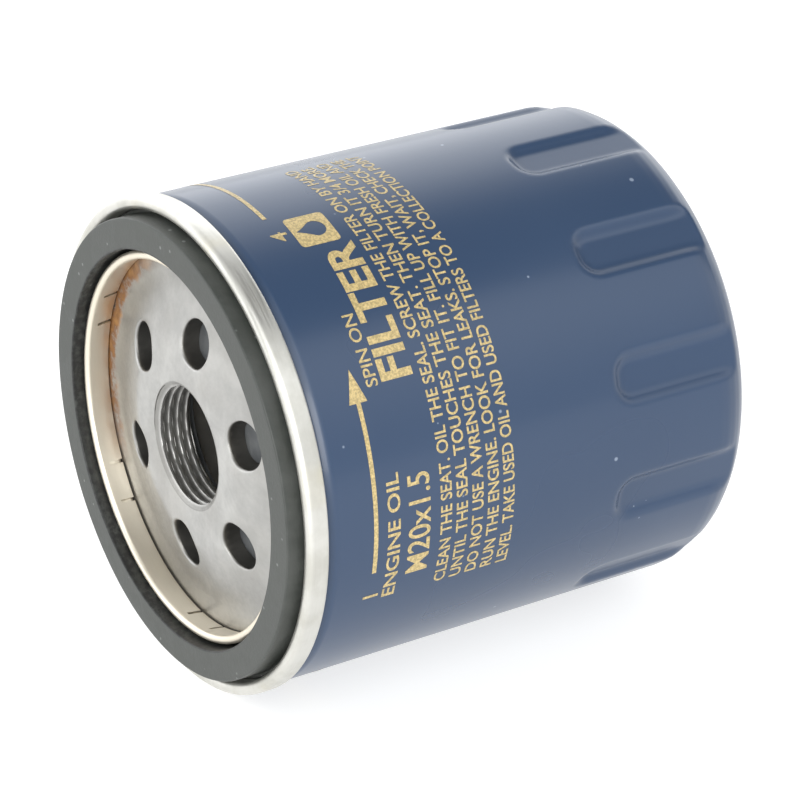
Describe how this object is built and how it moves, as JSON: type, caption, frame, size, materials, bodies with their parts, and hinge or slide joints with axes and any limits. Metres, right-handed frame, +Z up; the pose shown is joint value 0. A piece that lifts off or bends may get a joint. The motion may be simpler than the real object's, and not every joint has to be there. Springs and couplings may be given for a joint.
{
  "type": "oil filter",
  "caption": "Spin-on oil filter: fluted painted can, rolled seam, proud rubber gasket, threaded plate with inlet holes, pleated element and valves inside.",
  "frame": {"origin": "centre of the engine thread's mouth, on the hub's outer face", "axes": "+Y along the filter's axis from the thread towards the closed end, +Z up with the filter lying on its side, +X across"},
  "size_m": [0.0772, 0.0827, 0.0772],
  "materials": {
    "blue_enamel": "glossy",
    "tin_plate": "bright",
    "plate_steel": "satin",
    "gasket_rubber": "matte",
    "sealant": "matte",
    "valve_rubber": "satin",
    "zinc_steel": "satin",
    "plastisol": "satin",
    "filter_paper": "matte",
    "clip_steel": "satin",
    "tube_steel": "satin",
    "spring_steel": "satin"
  },
  "bodies": {
    "shell": {"can": "blue_enamel", "seaming_lid": "tin_plate", "tapping_plate": "plate_steel", "sealing_gasket": "gasket_rubber", "seam_sealant": "sealant", "support_spring": "spring_steel"},
    "element": {"upper_end_cap": "zinc_steel", "upper_potting": "plastisol", "filter_media": "filter_paper", "media_clip": "clip_steel", "centre_tube": "tube_steel", "lower_potting": "plastisol", "lower_end_cap": "zinc_steel", "bypass_seat": "zinc_steel", "bypass_cage": "zinc_steel", "bypass_spring": "spring_steel", "spring_dish": "zinc_steel"},
    "drain_valve": {"anti_drain_valve": "valve_rubber"},
    "bypass_valve": {"bypass_poppet": "clip_steel", "bypass_seal": "valve_rubber"}
  },
  "joints": [
    {"name": "element_float", "type": "slide", "parent": "shell", "child": "element", "axis": [0, 1, 0], "range_m": [0, 0.0015], "stiffness_N_per_m": 4000, "springref_m": -0.005, "deforming": ["support_spring"]},
    {"name": "drain_valve_lift", "type": "slide", "parent": "shell", "child": "drain_valve", "axis": [0, 1, 0], "range_m": [0, 0.0012], "stiffness_N_per_m": 400, "springref_m": -0.001},
    {"name": "bypass_lift", "type": "slide", "parent": "element", "child": "bypass_valve", "axis": [0, -1, 0], "range_m": [0, 0.003], "stiffness_N_per_m": 3000, "springref_m": -0.0033, "deforming": ["bypass_spring"]}
  ]
}
